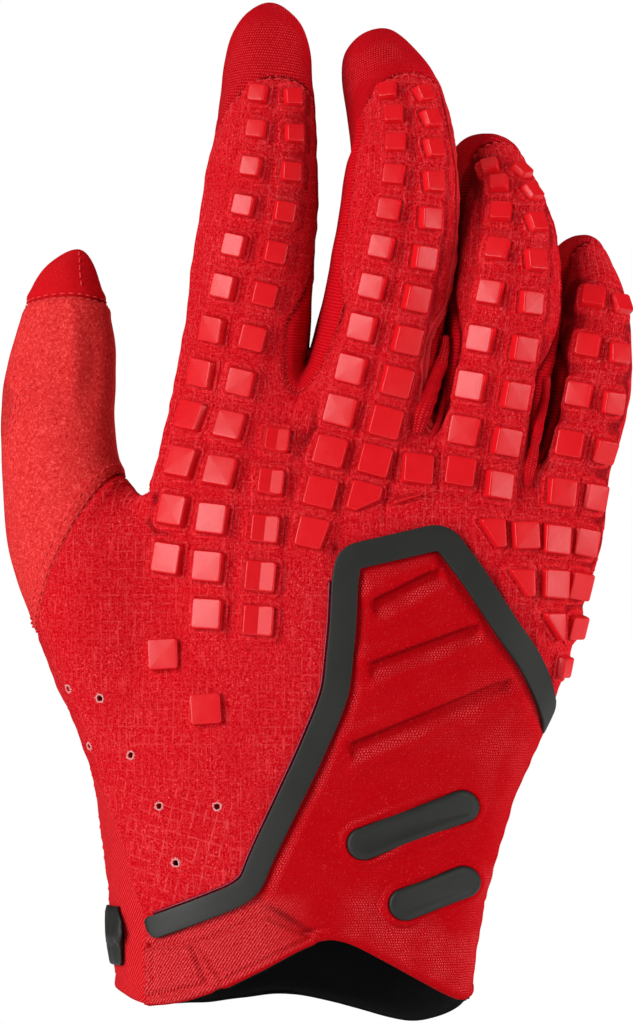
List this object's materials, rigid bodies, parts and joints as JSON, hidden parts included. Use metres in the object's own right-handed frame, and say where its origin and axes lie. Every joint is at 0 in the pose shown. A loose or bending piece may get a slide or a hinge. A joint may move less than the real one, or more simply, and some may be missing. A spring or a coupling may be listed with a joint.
{
  "type": "motocross glove",
  "caption": "Right-hand off-road riding glove in worn form, fingers up, with raised rubber blocks on the back, knit fingertips, black rubber trim and an open cuff.",
  "frame": {"origin": "centre of the wrist opening, level with the lowest point of the cuff edge", "axes": "+Z from the wrist towards the fingers, +Y from the back of the hand towards the palm, +X from the thumb towards the little finger"},
  "size_m": [0.1454, 0.06, 0.2339],
  "materials": {
    "woven": "matt ripstop weave, red",
    "knit": "matt rib knit, red",
    "suede": "napped synthetic suede, red",
    "mesh_knit": "fine mesh knit, red",
    "rubber_black": "smooth matt black rubber",
    "lining_black": "matt black lining"
  },
  "bodies": {
    "root": {"back_panel": "woven", "wrist_panel": "knit", "side_panel": "knit", "palm_panel": "suede", "gusset_index_middle": "knit", "gusset_middle_ring": "knit", "gusset_ring_little": "knit", "strip_index": "knit", "thumb_panel": "suede", "thumb_cap": "knit", "cap_index": "mesh_knit", "cap_middle": "mesh_knit", "cap_ring": "mesh_knit", "cap_little": "mesh_knit", "wrist_trim": "rubber_black", "wrist_bar_upper": "rubber_black", "wrist_bar_lower": "rubber_black", "closure_tab": "lining_black", "cuff_lining": "lining_black"}
  },
  "joints": []
}
